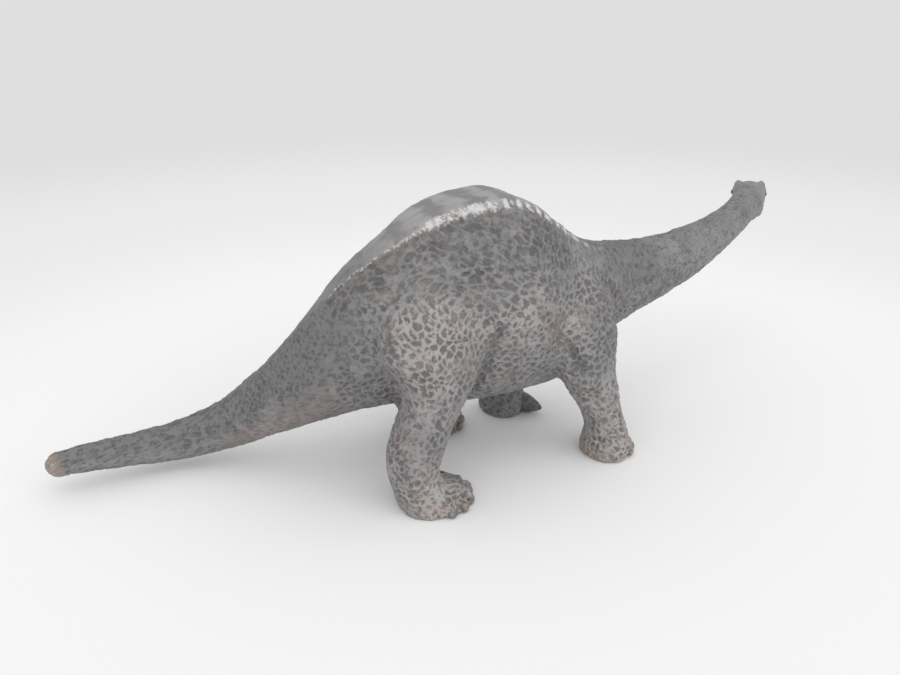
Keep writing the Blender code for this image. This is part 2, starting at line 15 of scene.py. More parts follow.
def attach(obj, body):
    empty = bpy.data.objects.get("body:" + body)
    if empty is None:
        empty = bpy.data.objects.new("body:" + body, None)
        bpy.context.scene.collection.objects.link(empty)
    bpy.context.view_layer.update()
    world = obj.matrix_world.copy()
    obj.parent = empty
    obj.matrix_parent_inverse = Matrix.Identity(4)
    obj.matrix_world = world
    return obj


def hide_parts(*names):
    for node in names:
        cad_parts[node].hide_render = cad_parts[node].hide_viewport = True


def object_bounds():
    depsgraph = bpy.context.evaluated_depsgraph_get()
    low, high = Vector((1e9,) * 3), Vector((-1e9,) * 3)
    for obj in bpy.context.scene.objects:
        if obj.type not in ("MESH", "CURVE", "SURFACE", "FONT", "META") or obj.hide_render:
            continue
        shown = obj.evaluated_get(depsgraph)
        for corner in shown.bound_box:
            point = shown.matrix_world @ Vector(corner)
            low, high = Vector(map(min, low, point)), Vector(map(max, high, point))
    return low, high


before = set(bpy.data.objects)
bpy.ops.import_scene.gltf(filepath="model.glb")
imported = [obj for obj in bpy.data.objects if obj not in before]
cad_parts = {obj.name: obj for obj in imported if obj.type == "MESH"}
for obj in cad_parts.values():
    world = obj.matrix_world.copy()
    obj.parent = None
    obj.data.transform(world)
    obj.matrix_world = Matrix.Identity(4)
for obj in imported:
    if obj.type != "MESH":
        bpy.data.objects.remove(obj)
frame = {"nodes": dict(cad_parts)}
cad_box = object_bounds()

MM = 0.001
BODY = "root"

# Sections of the body from the tail's tip to the snout: middle, half depth, half width, and how far the
# section leans to stay square to the spine
SPINE = (
    (-198.3, 47.0, 14.0, 6.08, 5.89, 1.00),
    (-194.0, 47.0, 14.0, 6.51, 6.35, 1.00),
    (-184.1, 47.0, 14.0, 6.94, 6.98, 1.00),
    (-174.1, 47.0, 13.3, 7.50, 7.59, 1.00),
    (-164.2, 47.0, 12.5, 8.06, 8.21, 1.00),
    (-154.2, 46.5, 12.3, 9.05, 8.99, 1.00),
    (-144.3, 45.4, 12.8, 9.89, 9.76, 1.00),
    (-134.4, 42.6, 15.3, 10.60, 10.70, 1.00),
    (-124.4, 37.1, 19.5, 11.81, 11.78, 1.00),
    (-116.6, 31.1, 25.5, 13.49, 13.17, 1.00),
    (-108.8, 23.9, 33.0, 15.50, 14.72, 1.00),
    (-100.3, 15.1, 40.9, 18.29, 16.43, 1.00),
    (-92.5, 6.9, 49.5, 21.39, 17.98, 0.80),
    (-84.7, -0.3, 58.5, 25.42, 19.84, 0.61),
    (-74.7, -5.2, 67.5, 33.79, 21.70, 0.36),
    (-64.7, -8.0, 73.8, 38.50, 23.68, 0.00),
    (-57.4, -8.0, 74.1, 42.62, 26.27, 0.00),
    (-50.1, -8.0, 75.3, 44.44, 28.86, 0.00),
    (-43.9, -8.0, 76.1, 45.62, 31.08, 0.00),
    (-36.6, -8.0, 76.7, 46.69, 33.30, 0.00),
    (-29.3, -8.0, 76.7, 47.19, 35.15, 0.00),
    (-22.0, -8.0, 76.6, 47.62, 36.26, 0.00),
    (-14.8, -8.0, 76.8, 47.75, 37.00, 0.00),
    (-6.4, -8.0, 75.2, 46.19, 36.26, 0.00),
    (1.9, -8.0, 72.9, 43.88, 34.04, 0.00),
    (9.2, -8.0, 69.8, 40.75, 31.82, 0.00),
    (17.5, -8.0, 67.2, 37.19, 29.23, 0.00),
    (26.8, -8.0, 65.3, 32.31, 26.27, 0.00),
    (35.2, -8.0, 67.1, 27.06, 22.57, 0.00),
    (43.5, -8.0, 70.3, 20.81, 18.87, 0.00),
    (68.7, -7.6, 71.4, 17.43, 14.97, 1.00),
    (93.8, -5.8, 75.2, 13.74, 12.71, 1.00),
    (113.1, -2.6, 79.1, 11.38, 10.97, 1.00),
    (132.0, 2.7, 83.1, 9.74, 9.74, 1.00),
    (151.2, 11.1, 86.9, 8.60, 8.60, 1.00),
    (167.7, 21.7, 87.6, 8.80, 8.80, 1.00),
    (175.7, 28.6, 87.4, 9.20, 9.20, 1.00),
    (179.8, 32.4, 87.0, 9.50, 9.60, 1.00),
    (184.5, 36.8, 86.3, 9.30, 9.60, 1.00),
    (189.8, 41.7, 84.7, 8.20, 8.14, 1.00),
    (194.4, 46.1, 83.0, 6.90, 7.21, 1.00),
    (198.5, 49.9, 82.1, 5.45, 6.66, 1.00),
    (201.8, 52.9, 81.1, 4.46, 5.73, 1.00),
)
CREST_FLAT = 0.92             # height at which the dorsal band cuts off each section
TOP_NARROWING = 0.10
RING_SIDES = 72
SPINE_EVENINGS = 24

# Levels of the legs from the sole up: height, back and front edge, middle and half width across the
# figure, and how much of the stride the level takes
HIND_LEVELS = (
    (0.0, -14.5, 11.0, 31.5, 14.80, 1.00),
    (5.7, -16.0, 10.0, 31.5, 14.60, 1.00),
    (11.4, -17.8, 5.6, 31.2, 12.60, 0.98),
    (18.0, -19.5, 3.2, 30.9, 11.60, 0.92),
    (26.6, -20.5, 6.0, 30.6, 12.40, 0.80),
    (36.1, -18.0, 10.0, 29.9, 13.02, 0.66),
    (45.6, -13.5, 15.0, 29.0, 13.95, 0.50),
    (55.1, -14.0, 21.0, 27.7, 14.88, 0.34),
    (66.5, -21.5, 25.0, 24.6, 15.04, 0.18),
    (77.9, -22.0, 22.0, 21.4, 13.33, 0.06),
    (87.4, -17.0, 14.0, 17.6, 10.23, 0.00),
    (95.0, -8.0, 5.0, 15.1, 5.58, 0.00),
)
FORE_LEVELS = (
    (0.0, -13.6, 8.2, 31.5, 13.78, 1.00),
    (6.2, -13.6, 8.2, 31.5, 13.78, 1.00),
    (12.3, -12.6, 8.8, 31.2, 11.61, 1.00),
    (21.1, -13.6, 6.1, 30.9, 10.53, 0.90),
    (31.7, -18.0, 6.5, 30.2, 10.67, 0.72),
    (42.2, -21.8, 7.8, 29.3, 11.34, 0.50),
    (52.8, -22.4, 11.2, 28.0, 12.42, 0.28),
    (65.1, -19.7, 13.9, 25.2, 13.23, 0.10),
    (76.6, -16.3, 13.6, 21.4, 11.34, 0.00),
    (88.0, -6.8, 5.4, 17.6, 5.94, 0.00),
)
# Each leg: its levels, side, joint, stride, plug height, and the foot pad's place ahead, radius and height
LEGS = {
    "rear_right_leg": (HIND_LEVELS, -1, -60.5, -4.0, 66.5, (2.3, 15.9, 10.6)),
    "rear_left_leg": (HIND_LEVELS, 1, -60.5, 32.0, 66.5, (-1.0, 15.6, 10.6)),
    "front_right_leg": (FORE_LEVELS, -1, 18.5, 12.0, 65.1, (-1.2, 12.4, 8.4)),
    "front_left_leg": (FORE_LEVELS, 1, 18.5, -5.0, 65.1, (-1.0, 12.2, 8.4)),
}
# Bearings of the toes round each pad, in degrees to the left of straight ahead
TOES = {
    "rear_right_leg": (16, -12, -38, -64, -90),
    "rear_left_leg": (-50, -22, 6, 34, 62),
    "front_right_leg": (26, -2, -30, -58),
    "front_left_leg": (-14, 14, 42, 70),
}
# Bearings of the thumb claws on the inner side of the fore feet
CLAWS = {"front_right_leg": 58, "front_left_leg": -50}
# Along a claw: share of its length past the pad's rim, level of its middle and half width
CLAW_SHAPE = (
    (-0.9, 5.6, 5.8), (-0.45, 5.3, 5.6), (0.0, 4.7, 4.9), (0.35, 4.2, 3.9), (0.7, 3.6, 2.5), (0.93, 3.2, 1.2),
    (1.0, 3.0, 0.4),
)
CLAW_LENGTH = 8.0
MIDDLE_Y = -7.95              # the hips' mid-plane
HALF_GAUGE = 31.5
SOLE_SINK = 1.2
TOE = 7.8
TOE_SHARES = (0.56, 0.44, 0.56)
TOE_HEIGHT = 4.2
TOE_INSET = 3.4               # from the rim of the pad
# Nails: their radii, and how far out from and above a toe's middle they sit
NAIL_RADII = (1.6, 2.2, 2.4)
NAIL_OUT = 2.8
NAIL_LIFT = -1.5
FORE_NAIL_SIZE = 0.88
# Level and width of each section of a foot pad, as shares of its height and radius
PAD_SHARES = ((-0.11, 0.97), (0.20, 1.0), (0.50, 0.97), (0.78, 0.86), (0.95, 0.68), (1.03, 0.35))

# Seams
SEAM_MARGIN = 3.2
HIP_SEAM = 19.5
HIP_SEAM_SLANT = math.radians(11.0)
NECK_SEAM = ((50.49, -7.94, 71.29), (1.0, 0.0034, 0.0))
TAIL_SEAM = ((-104.53, 19.62, 36.88), (-0.6687, 0.697, -0.2588))
CUT_REACH = 400.0
END_HEIGHT = 82.0             # of the space that belongs to the neck or the tail
WALL_RANGE = (-146.0, 59.0)

# Head: brows, jaws, muzzle and throat as middle and radii
HEAD_AHEAD = Vector((0.7314, 0.6820, 0.0))
HEAD_TURN = math.atan2(HEAD_AHEAD.y, HEAD_AHEAD.x)
HEAD_BALLS = (
    ((189.38, 32.73, 90.8), (7.6, 2.96, 4.62)),
    ((187.0, 30.3, 80.9), (12.0, 3.1, 5.2)),
    ((180.8, 41.93, 90.8), (7.6, 2.96, 4.62)),
    ((178.0, 39.9, 80.9), (12.0, 3.1, 5.2)),
    ((201.18, 52.34, 81.07), (4.4, 5.73, 4.62)),
    ((177.7, 30.4, 79.2), (10.0, 7.2, 5.2)),
)

# Where the paint is paler or darker: middle, radius and amount. The left side mirrors the right
TONE_PATCHES = (
    ((-63.7, -38.9, 83.0), 21.0, 0.85),
    ((-72.0, -50.0, 60.0), 15.0, 0.45),
    ((-19.5, -43.9, 80.0), 15.0, 0.60),
    ((-11.4, -42.8, 88.0), 9.0, 0.25),
    ((-33.0, -42.0, 68.0), 10.0, 0.30),
    ((5.4, -42.5, 66.6), 13.0, 0.35),
    ((19.7, -32.6, 86.3), 11.0, 0.30),
    ((19.0, -46.6, 34.0), 15.0, 0.30),
    ((-68.0, -52.0, 8.0), 15.0, 0.40),
    ((30.0, -50.0, 5.0), 12.0, 0.30),
    ((-89.5, -18.9, 77.0), 17.0, -0.40),
    ((-103.6, -7.7, 51.6), 17.0, -0.35),
    ((-37.3, -32.9, 107.0), 22.0, -0.12),
    ((57.0, -22.1, 79.6), 24.0, -0.25),
    ((2.0, -33.7, 100.7), 14.0, -0.25),
)
# Folds and creases: depth (raised where negative), width, and the points each runs through
FOLDS = (
    (1.0, 1.9, ((-79.6, -29.0, 83.8), (-80.8, -33.9, 78.5), (-80.9, -37.3, 71.2), (-79.5, -37.5, 62.3))),
    (1.3, 2.3, ((-32.7, -42.0, 73.0), (-34.3, -40.8, 65.8), (-35.5, -38.3, 57.9), (-37.0, -35.4, 50.7),
                (-37.5, -29.8, 41.9))),
    (1.3, 3.0, ((-5.5, -43.6, 69.1), (1.7, -41.5, 60.0), (5.2, -45.2, 53.6), (9.1, -46.9, 47.2))),
    (0.5, 1.0, ((-189.9, 43.4, 19.4), (-173.6, 41.7, 18.3), (-156.7, 40.1, 18.0), (-140.0, 35.5, 20.2),
                (-130.3, 27.7, 23.7))),
    (0.6, 0.8, ((-42.7, -23.8, 117.5), (-34.8, -28.8, 114.3))),
    (0.7, 0.8, ((-35.7, -24.7, 118.9), (-32.2, -29.9, 113.4))),
    (0.7, 0.8, ((-27.7, -26.4, 118.6), (-30.0, -31.0, 112.5))),
    (0.7, 0.8, ((-21.1, -27.5, 118.4), (-27.2, -31.1, 112.9))),
    (0.6, 0.8, ((-57.1, -23.0, 110.2), (-47.4, -28.7, 107.7))),
    (0.8, 1.5, ((-83.3, -42.1, 19.8), (-80.3, -47.0, 17.6), (-75.3, -50.4, 16.8), (-67.7, -50.2, 17.6))),
    (-0.55, 2.2, ((-66.4, -49.0, 53.0), (-70.4, -48.8, 42.8), (-75.2, -49.0, 32.9), (-79.4, -48.0, 24.5))),
    (0.7, 1.8, ((-62.9, -50.0, 50.0), (-66.7, -50.0, 40.0), (-70.6, -49.4, 29.0), (-73.0, -48.0, 21.0))),
    (0.55, 1.1, ((27.7, -35.7, 78.0), (23.0, -44.0, 68.4))),
    (0.50, 1.1, ((20.9, -38.7, 78.7), (18.3, -45.3, 67.4), (16.5, -48.0, 57.0))),
    (0.50, 1.1, ((15.8, -39.8, 77.6), (14.2, -45.7, 66.0))),
    (0.65, 1.2, ((55.9, -24.4, 71.6), (62.3, -20.8, 60.8))),
    (0.65, 1.2, ((64.1, -23.1, 72.7), (71.7, -19.2, 61.1))),
    (0.55, 1.1, ((72.6, -21.6, 73.9), (78.3, -19.2, 64.1))),
    (0.45, 1.1, ((82.0, -20.5, 75.5), (87.0, -17.5, 67.0))),
    (0.7, 1.2, ((16.0, -40.5, 11.0), (21.1, -48.8, 10.0), (29.5, -51.0, 12.0))),
    (-0.45, 0.8, ((-81.1, -18.4, 95.5), (-71.2, -23.6, 98.3), (-60.2, -26.8, 100.8), (-50.5, -29.3, 104.2))),
    (-0.35, 0.9, ((-92.6, -16.0, 76.8), (-85.7, -20.6, 82.2), (-78.3, -28.3, 85.9), (-70.5, -30.7, 90.3))),
)
TAIL_TURN = -100.0            # behind this the tail swings away, and its folds aren't mirrored

# The middle between the eyes, each eye's place aside and radii, and the radius of its lid
EYE_MIDDLE = (186.3, 38.4, 87.6)
EYE_ASIDE = 8.6
EYE_RADII = (1.6, 1.3, 1.5)
EYELID = 2.3
HEAD_FLECK = (185.1, 37.3, 92.9)
# The mouth line in side view, from the snout to the jaw's corner: ahead of and above the last section of
# the spine. The nostril has a place aside between the two
MOUTH = ((6.0, -1.4), (-4.5, -1.0), (-10.0, -0.2), (-16.0, 0.9), (-20.0, 2.2))
NOSTRIL = ((1.6, 2.4, 3.2), (-1.2, 3.0, 4.2))
# Depth and width of each
MOUTH_PRESS = (1.0, 0.8)
NOSTRIL_PRESS = (1.2, 1.1)
LID_RISE = 1.3
LID_WIDTH = 0.8

ROUGH_VOXEL = 1.7
ROUGH_SOFTENING = 6
FINE_VOXEL = 0.98
FINE_SOFTENING = 1
SKIN_LEVELS = 1
POINTS_AT_ONCE = 20000

FLOOR_RADIUS = 30000.0
DOME_COLOUR = (0.99, 0.99, 1.0, 1.0)
DOME_LEVEL = 0.88
SEEN_LEVEL = 0.75             # of the backdrop, which meets the far floor's brightness
LAMP_LEVEL = 1.02
LAMP_SPREAD = 95.0
LAMP_FROM = (-0.17, -1.0, 0.76)
# The photograph's camera in metres, degrees and the lens's own millimetres
CAMERA_PLACE = (-0.2405, -0.3635, 0.225)
CAMERA_HEADING = (0.497, 0.868)
CAMERA_TILT = 22.0
CAMERA_LENS = 40.0
CAMERA_SENSOR = 36.0
CAMERA_NEAR = 0.01


def smooth_rows(rows, steps):
    """Rows of numbers on a smooth curve through the given rows, with the given steps between neighbours."""
    table = np.array(rows, dtype=float)
    padded = np.vstack((2 * table[0] - table[1], table, 2 * table[-1] - table[-2]))
    finer = []
    for before, start, end, after in zip(padded, padded[1:], padded[2:], padded[3:]):
        for t in np.linspace(0, 1, steps, endpoint=False):
            finer.append(0.5 * (2 * start + (end - before) * t
                                + (2 * before - 5 * start + 4 * end - after) * t ** 2
                                + (3 * start - before - 3 * end + after) * t ** 3))
    finer.append(table[-1])
    return np.array(finer)


def spine_rows():
    """The sections of the body, close together and with their steps evened out."""
    rows = smooth_rows(SPINE, 5)
    for evening in range(SPINE_EVENINGS):
        rows[1:-1] = (rows[:-2] + 2 * rows[1:-1] + rows[2:]) / 4
    return rows


def spine_frames(rows):
    """Middle, left and up of every section."""
    middles = [Vector(row[:3]) for row in rows]
    frames = []
    for index, row in enumerate(rows):
        ahead = (middles[min(index + 1, len(rows) - 1)] - middles[max(index - 1, 0)]).normalized()
        ahead = Vector((ahead.x, ahead.y, ahead.z * row[5])).normalized()
        up = (Vector((0, 0, 1)) - ahead * ahead.z).normalized()
        frames.append((middles[index], up.cross(ahead), up))
    return frames


def add_ring(bm, middle, side, up, crest=1.0, narrowing=0.0):
    """One section's edges, cut off flat at its crest and narrower towards the top."""
    made = bmesh.ops.create_circle(bm, cap_ends=False, segments=RING_SIDES, radius=1.0)
    for vertex in made["verts"]:
        across, height = vertex.co.x, vertex.co.y
        if height > 0:
            height = min(height, crest) / crest
            across *= 1.0 - narrowing * height
        vertex.co = middle + side * across + up * height
    return list({edge for vertex in made["verts"] for edge in vertex.link_edges})


def loft(bm, sections):
    """One closed skin over a row of rings."""
    rings = [add_ring(bm, *section) for section in sections]
    for ring, following in zip(rings, rings[1:]):
        bmesh.ops.bridge_loops(bm, edges=ring + following)
    for end in (rings[0], rings[-1]):
        bmesh.ops.contextual_create(bm, geom=end)


def add_ball(bm, middle, radii, turn=0.0, sides=32):
    placing = Matrix.Translation(middle) @ Matrix.Rotation(turn, 4, "Z") @ Matrix.Diagonal((*radii, 1.0))
    bmesh.ops.create_uvsphere(bm, u_segments=sides, v_segments=sides // 2, radius=1.0, matrix=placing)


def mesh_object(name, bm):
    """A new object from a mesh drawn in millimetres."""
    bmesh.ops.scale(bm, vec=(MM, MM, MM), verts=bm.verts)
    bmesh.ops.recalc_face_normals(bm, faces=bm.faces)
    mesh = bpy.data.meshes.new(name)
    bm.to_mesh(mesh)
    bm.free()
    made = bpy.data.objects.new(name, mesh)
    bpy.context.scene.collection.objects.link(made)
    return made


def settle(worked):
    """Replace an object's modifiers with the shape that they make."""
    depsgraph = bpy.context.evaluated_depsgraph_get()
    mesh = bpy.data.meshes.new_from_object(worked.evaluated_get(depsgraph), depsgraph=depsgraph)
    worked.modifiers.clear()
    worked.data = mesh
    return worked


def reskin(worked, voxel, softening):
    """Give an object one even, softened skin over all its overlapping forms."""
    remesh = worked.modifiers.new("Skin", "REMESH")
    remesh.mode = "VOXEL"
    remesh.voxel_size = voxel * MM
    smooth = worked.modifiers.new("Soften", "SMOOTH")
    smooth.factor = 0.5
    smooth.iterations = softening
    return settle(worked)


def leg_rows(name, steps):
    """Real levels of one leg: height, back, front, middle across and half width."""
    levels, side, joint_x, stride = LEGS[name][:4]
    rows = []
    for height, back, front, aside, half_width, share in smooth_rows(levels, steps):
        shift = joint_x + stride * share
        rows.append((height, shift + back, shift + front, MIDDLE_Y + side * aside, half_width))
    return rows


def leg_sections(name):
    sections = []
    for height, back, front, across, half_width in leg_rows(name, 4):
        middle = Vector(((back + front) / 2, across, height))
        sections.append((middle, Vector((0, half_width, 0)), Vector(((front - back) / 2, 0, 0))))
    sections[0][0].z = -SOLE_SINK
    return sections


def pad_place(name):
    """Middle of a foot pad on the ground, its radius and its height."""
    side, joint_x, stride = LEGS[name][1:4]
    ahead, radius, height = LEGS[name][5]
    return Vector((joint_x + stride + ahead, MIDDLE_Y + side * HALF_GAUGE, 0)), radius, height


def heading(degrees):
    return Vector((math.cos(math.radians(degrees)), math.sin(math.radians(degrees)), 0))


def add_pad(bm, name):
    """A flat-topped pad with a rounded rim."""
    middle, radius, height = pad_place(name)
    sections = []
    for level, width in PAD_SHARES:
        size = radius * width
        sections.append((middle + Vector((0, 0, height * level)), Vector((0, size, 0)), Vector((size, 0, 0))))
    loft(bm, sections)


def toe_places(name):
    """Middle and bearing of each toe, round the rim of the foot pad."""
    middle, radius = pad_place(name)[:2]
    lift = Vector((0, 0, TOE_HEIGHT))
    rim = radius - TOE_INSET
    return [(middle + heading(degrees) * rim + lift, math.radians(degrees)) for degrees in TOES[name]]


def rough_skin():
    """The main forms as one soft skin."""
    bm = bmesh.new()
    rows = spine_rows()
    sections = []
    for row, (middle, left, up) in zip(rows, spine_frames(rows)):
        sections.append((middle, left * row[4], up * row[3], CREST_FLAT, TOP_NARROWING))
    loft(bm, sections)
    add_ball(bm, Vector(rows[0][:3]), (rows[0][4] * 1.25, rows[0][4] * 1.1, rows[0][3] * 1.1))
    for name in LEGS:
        loft(bm, leg_sections(name))
        add_pad(bm, name)
    return reskin(mesh_object("skin", bm), ROUGH_VOXEL, ROUGH_SOFTENING)


def fine_skin():
    """The soft skin with the toes and the head's forms, in its final fineness."""
    rough = rough_skin()
    bm = bmesh.new()
    for middle, radii in HEAD_BALLS:
        add_ball(bm, Vector(middle), radii, HEAD_TURN)
    for name in LEGS:
        for place, bearing in toe_places(name):
            add_ball(bm, place, [TOE * share for share in TOE_SHARES], bearing)
    bmesh.ops.scale(bm, vec=(MM, MM, MM), verts=bm.verts)
    bm.from_mesh(rough.data)
    bmesh.ops.scale(bm, vec=(1 / MM, 1 / MM, 1 / MM), verts=bm.verts)
    bpy.data.objects.remove(rough)
    skin = reskin(mesh_object("skin", bm), FINE_VOXEL, FINE_SOFTENING)
    finer = skin.modifiers.new("Finer", "SUBSURF")
    finer.levels = finer.render_levels = SKIN_LEVELS
    return settle(skin)


# Moulded relief


def ease(low, high, value):
    """0 below low, 1 above high and smooth between; the other way round where low is the larger."""
    share = np.clip((value - low) / (high - low), 0, 1)
    return share * share * (3 - 2 * share)


def scatter(cells, seed):
    """Three numbers from 0 to 1 for each whole-number cell."""
    keys = cells.astype(np.int64).astype(np.uint32)
    mixed = keys[:, 0] * np.uint32(0x9E3779B1) ^ keys[:, 1] * np.uint32(0x85EBCA77)
    mixed = mixed ^ keys[:, 2] * np.uint32(0xC2B2AE3D)
    numbers = []
    for step in range(3):
        mixed = (mixed ^ np.uint32(seed + 7919 * step)) * np.uint32(0x27D4EB2F)
        mixed = (mixed ^ (mixed >> np.uint32(15))) * np.uint32(0x165667B1)
        mixed = mixed ^ (mixed >> np.uint32(13))
        numbers.append((mixed & np.uint32(0xFFFFFF)).astype(np.float64) / 0xFFFFFF)
    return np.stack(numbers, axis=1)


def soft_noise(points, seed):
    """Smooth noise from -1 to 1 with features one unit wide."""
    base = np.floor(points)
    part = points - base
    part = part * part * (3 - 2 * part)
    total = np.zeros(len(points))
    for corner in np.ndindex(2, 2, 2):
        weight = np.prod(np.where(corner, part, 1 - part), axis=1)
        total += weight * scatter(base + corner, seed)[:, 0]
    return 2 * total - 1


def waver(points, width, reach, seed):
    """Points shifted by noise, so that straight nets become wavy."""
    shifts = [soft_noise(points / width, seed + axis) for axis in range(3)]
    return points + reach * np.stack(shifts, axis=1)


def flat_net(places, seed):
    """How far each place on a flat sheet is inside its cell: 0 on the ridges between cells, one unit wide."""
    base = np.floor(places)
    nearest = np.full(len(places), 9.0)
    second = np.full(len(places), 9.0)
    for across, along in np.ndindex(3, 3):
        cell = np.column_stack((base + (across - 1, along - 1), np.zeros(len(places))))
        away = np.linalg.norm(cell[:, :2] + 0.08 + 0.84 * scatter(cell, seed)[:, :2] - places, axis=1)
        second = np.where(away < nearest, nearest, np.minimum(second, away))
        nearest = np.minimum(nearest, away)
    return second - nearest


def bowls(places, ridge, seed):
    """Bowls between ridges of two sizes: 0 on the ridges, 1 in the middle of the deepest bowls."""
    coarse = ease(ridge, ridge + 0.56, flat_net(places, seed))
    fine = ease(0.05, 0.60, flat_net(places * 2.2, seed + 1))
    return 0.70 * coarse + 0.30 * fine


def add_bowls(pits, weight, points, normals, sizes, turn, ridge, seed):
    """Press a net of cells into the skin where its weight counts, from the side, the end and the top.

    The sizes are a cell's length, height and depth; seen from the side its length rises at the given turn.
    """
    length, height, depth = sizes
    cosine, sine = math.cos(math.radians(turn)), math.sin(math.radians(turn))
    x, y, z = points.T
    views = (
        (1, np.column_stack(((x * cosine + z * sine) / length, (z * cosine - x * sine) / height))),
        (0, np.column_stack((y / depth, z / max(height, depth)))),
        (2, np.column_stack((x / length, y / depth))),
    )
    jitter = np.stack([soft_noise(points / 4.0, seed + 6 + axis) for axis in range(3)], axis=1)
    facing = np.abs(normals + 0.18 * jitter) ** 10
    facing /= facing.sum(axis=1, keepdims=True)
    for view, (axis, places) in enumerate(views):
        share = weight * facing[:, axis]
        used = share > 0.03
        pits[used] += share[used] * bowls(places[used], ridge, seed + 2 * view)


def body_places(points):
    """Each point's run along the spine, and its place across and up in shares of its section's half sizes."""
    rows = spine_rows()[::2]
    frames = spine_frames(rows)
    middles = np.array([frame[0] for frame in frames])
    lefts = np.array([frame[1] for frame in frames])
    ups = np.array([frame[2] for frame in frames])
    aheads = np.cross(lefts, ups)
    steps = np.linalg.norm(np.diff(middles, axis=0), axis=1)
    runs = np.concatenate(([0], np.cumsum(steps)))
    result = np.zeros((len(points), 3))
    for start in range(0, len(points), POINTS_AT_ONCE):
        used = slice(start, start + POINTS_AT_ONCE)
        chunk = points[used]
        away = chunk[:, None, :] - middles[None]
        along = np.einsum("pri,ri->pr", away, aheads)
        best = np.argmin(along ** 2 + 0.05 * np.einsum("pri,pri->pr", away, away), axis=1)
        index = np.arange(len(chunk))
        near = away[index, best]
        result[used, 0] = runs[best] + along[index, best]
        result[used, 1] = np.einsum("pi,pi->p", near, lefts[best]) / rows[best, 4]
        result[used, 2] = np.einsum("pi,pi->p", near, ups[best]) / rows[best, 3]
    return result.T


def leg_share(points, name):
    """How much each point belongs to a leg: 1 inside its outline, 0 well outside it."""
    rows = leg_rows(name, 3)
    heights, backs, fronts, across, widths = np.array(rows).T
    height = points[:, 2]
    back, front = np.interp(height, heights, backs), np.interp(height, heights, fronts)
    aside, width = np.interp(height, heights, across), np.interp(height, heights, widths)
    along = (points[:, 0] - (back + front) / 2) / ((front - back) / 2 + 2)
    reach = np.hypot(along, (points[:, 1] - aside) / (width + 2))
    return ease(1.8, 1.0, reach) * ease(98.0, 80.0, height)


def bell(away, height, width):
    """A rounded rise or groove of a height and width, from the distances to its middle."""
    return height * np.exp(-(away / width) ** 2)


def line_distance(points, path):
    """How far each point is from a path of straight steps."""
    nearest = np.full(len(points), 1e9)
    for start, end in zip(path, path[1:]):
        start, step = np.array(start), np.array(end) - np.array(start)
        share = np.clip((points - start) @ step / (step @ step), 0, 1)
        nearest = np.minimum(nearest, np.linalg.norm(points - start - share[:, None] * step, axis=1))
    return nearest


def press_head(points, depths, ridges):
    """Add the mouth line, the nostrils and the raised lids round the eyes."""
    snout = np.array(SPINE[-1][:3])
    ahead = np.array(HEAD_AHEAD)
    left = np.array((-ahead[1], ahead[0], 0))
    away = points - snout
    places = np.column_stack((away @ ahead, np.abs(away @ left), away[:, 2]))
    from_side = places * (1, 0, 1)
    mouth = line_distance(from_side, [(along, 0, up) for along, up in MOUTH])
    nostril = line_distance(places, NOSTRIL)
    on_head = ease(-34.0, -30.0, places[:, 0])
    pressed = np.maximum(bell(mouth, *MOUTH_PRESS), bell(nostril, *NOSTRIL_PRESS))
    eye = np.array(EYE_MIDDLE) - snout
    from_eye = np.hypot(places[:, 0] - eye @ ahead, places[:, 2] - eye[2])
    lid = bell(from_eye - EYELID, 1.0, LID_WIDTH) * ease(4.0, 6.0, places[:, 1])
    return np.maximum(depths, pressed * on_head), np.maximum(ridges, LID_RISE * lid * on_head)


def foot_folds():
    """Grooves between the toes that run up the top of each foot."""
    folds = []
    for name in LEGS:
        middle, radius, height = pad_place(name)
        for first, second in zip(TOES[name], TOES[name][1:]):
            out = heading((first + second) / 2)
            path = (middle + out * (radius + 2), middle + out * radius + Vector((0, 0, 5.0)),
                    middle + out * radius * 0.62 + Vector((0, 0, height + 0.5)))
            folds.append((1.0, 1.0, [tuple(point) for point in path]))
    return folds


def press_folds(points):
    """Depth of the folds at each point, and how strongly it lies on a raised ridge."""
    depths, ridges = np.zeros(len(points)), np.zeros(len(points))
    mirrored = points * (1, -1, 1) + (0, 2 * MIDDLE_Y, 0)
    for depth, width, path in FOLDS:
        away = line_distance(points, path)
        if path[0][0] > TAIL_TURN:
            away = np.minimum(away, line_distance(mirrored, path))
        if depth > 0:
            depths = np.maximum(depths, bell(away, depth, width))
        else:
            ridges = np.maximum(ridges, bell(away, -2 * depth, width))
    for depth, width, path in foot_folds():
        depths = np.maximum(depths, bell(line_distance(points, path), depth, width))
    return press_head(points, depths, ridges)


def read_vertices(mesh, kind):
    """Three numbers of a kind for each vertex."""
    values = np.zeros(len(mesh.vertices) * 3)
    mesh.vertices.foreach_get(kind, values)
    return values.reshape(-1, 3)


def keep_marks(mesh, marks):
    """Store each mark on the skin for the materials."""
    for name, values in marks.items():
        mesh.attributes.new(name, "FLOAT", "POINT").data.foreach_set("value", values.astype(np.float32))


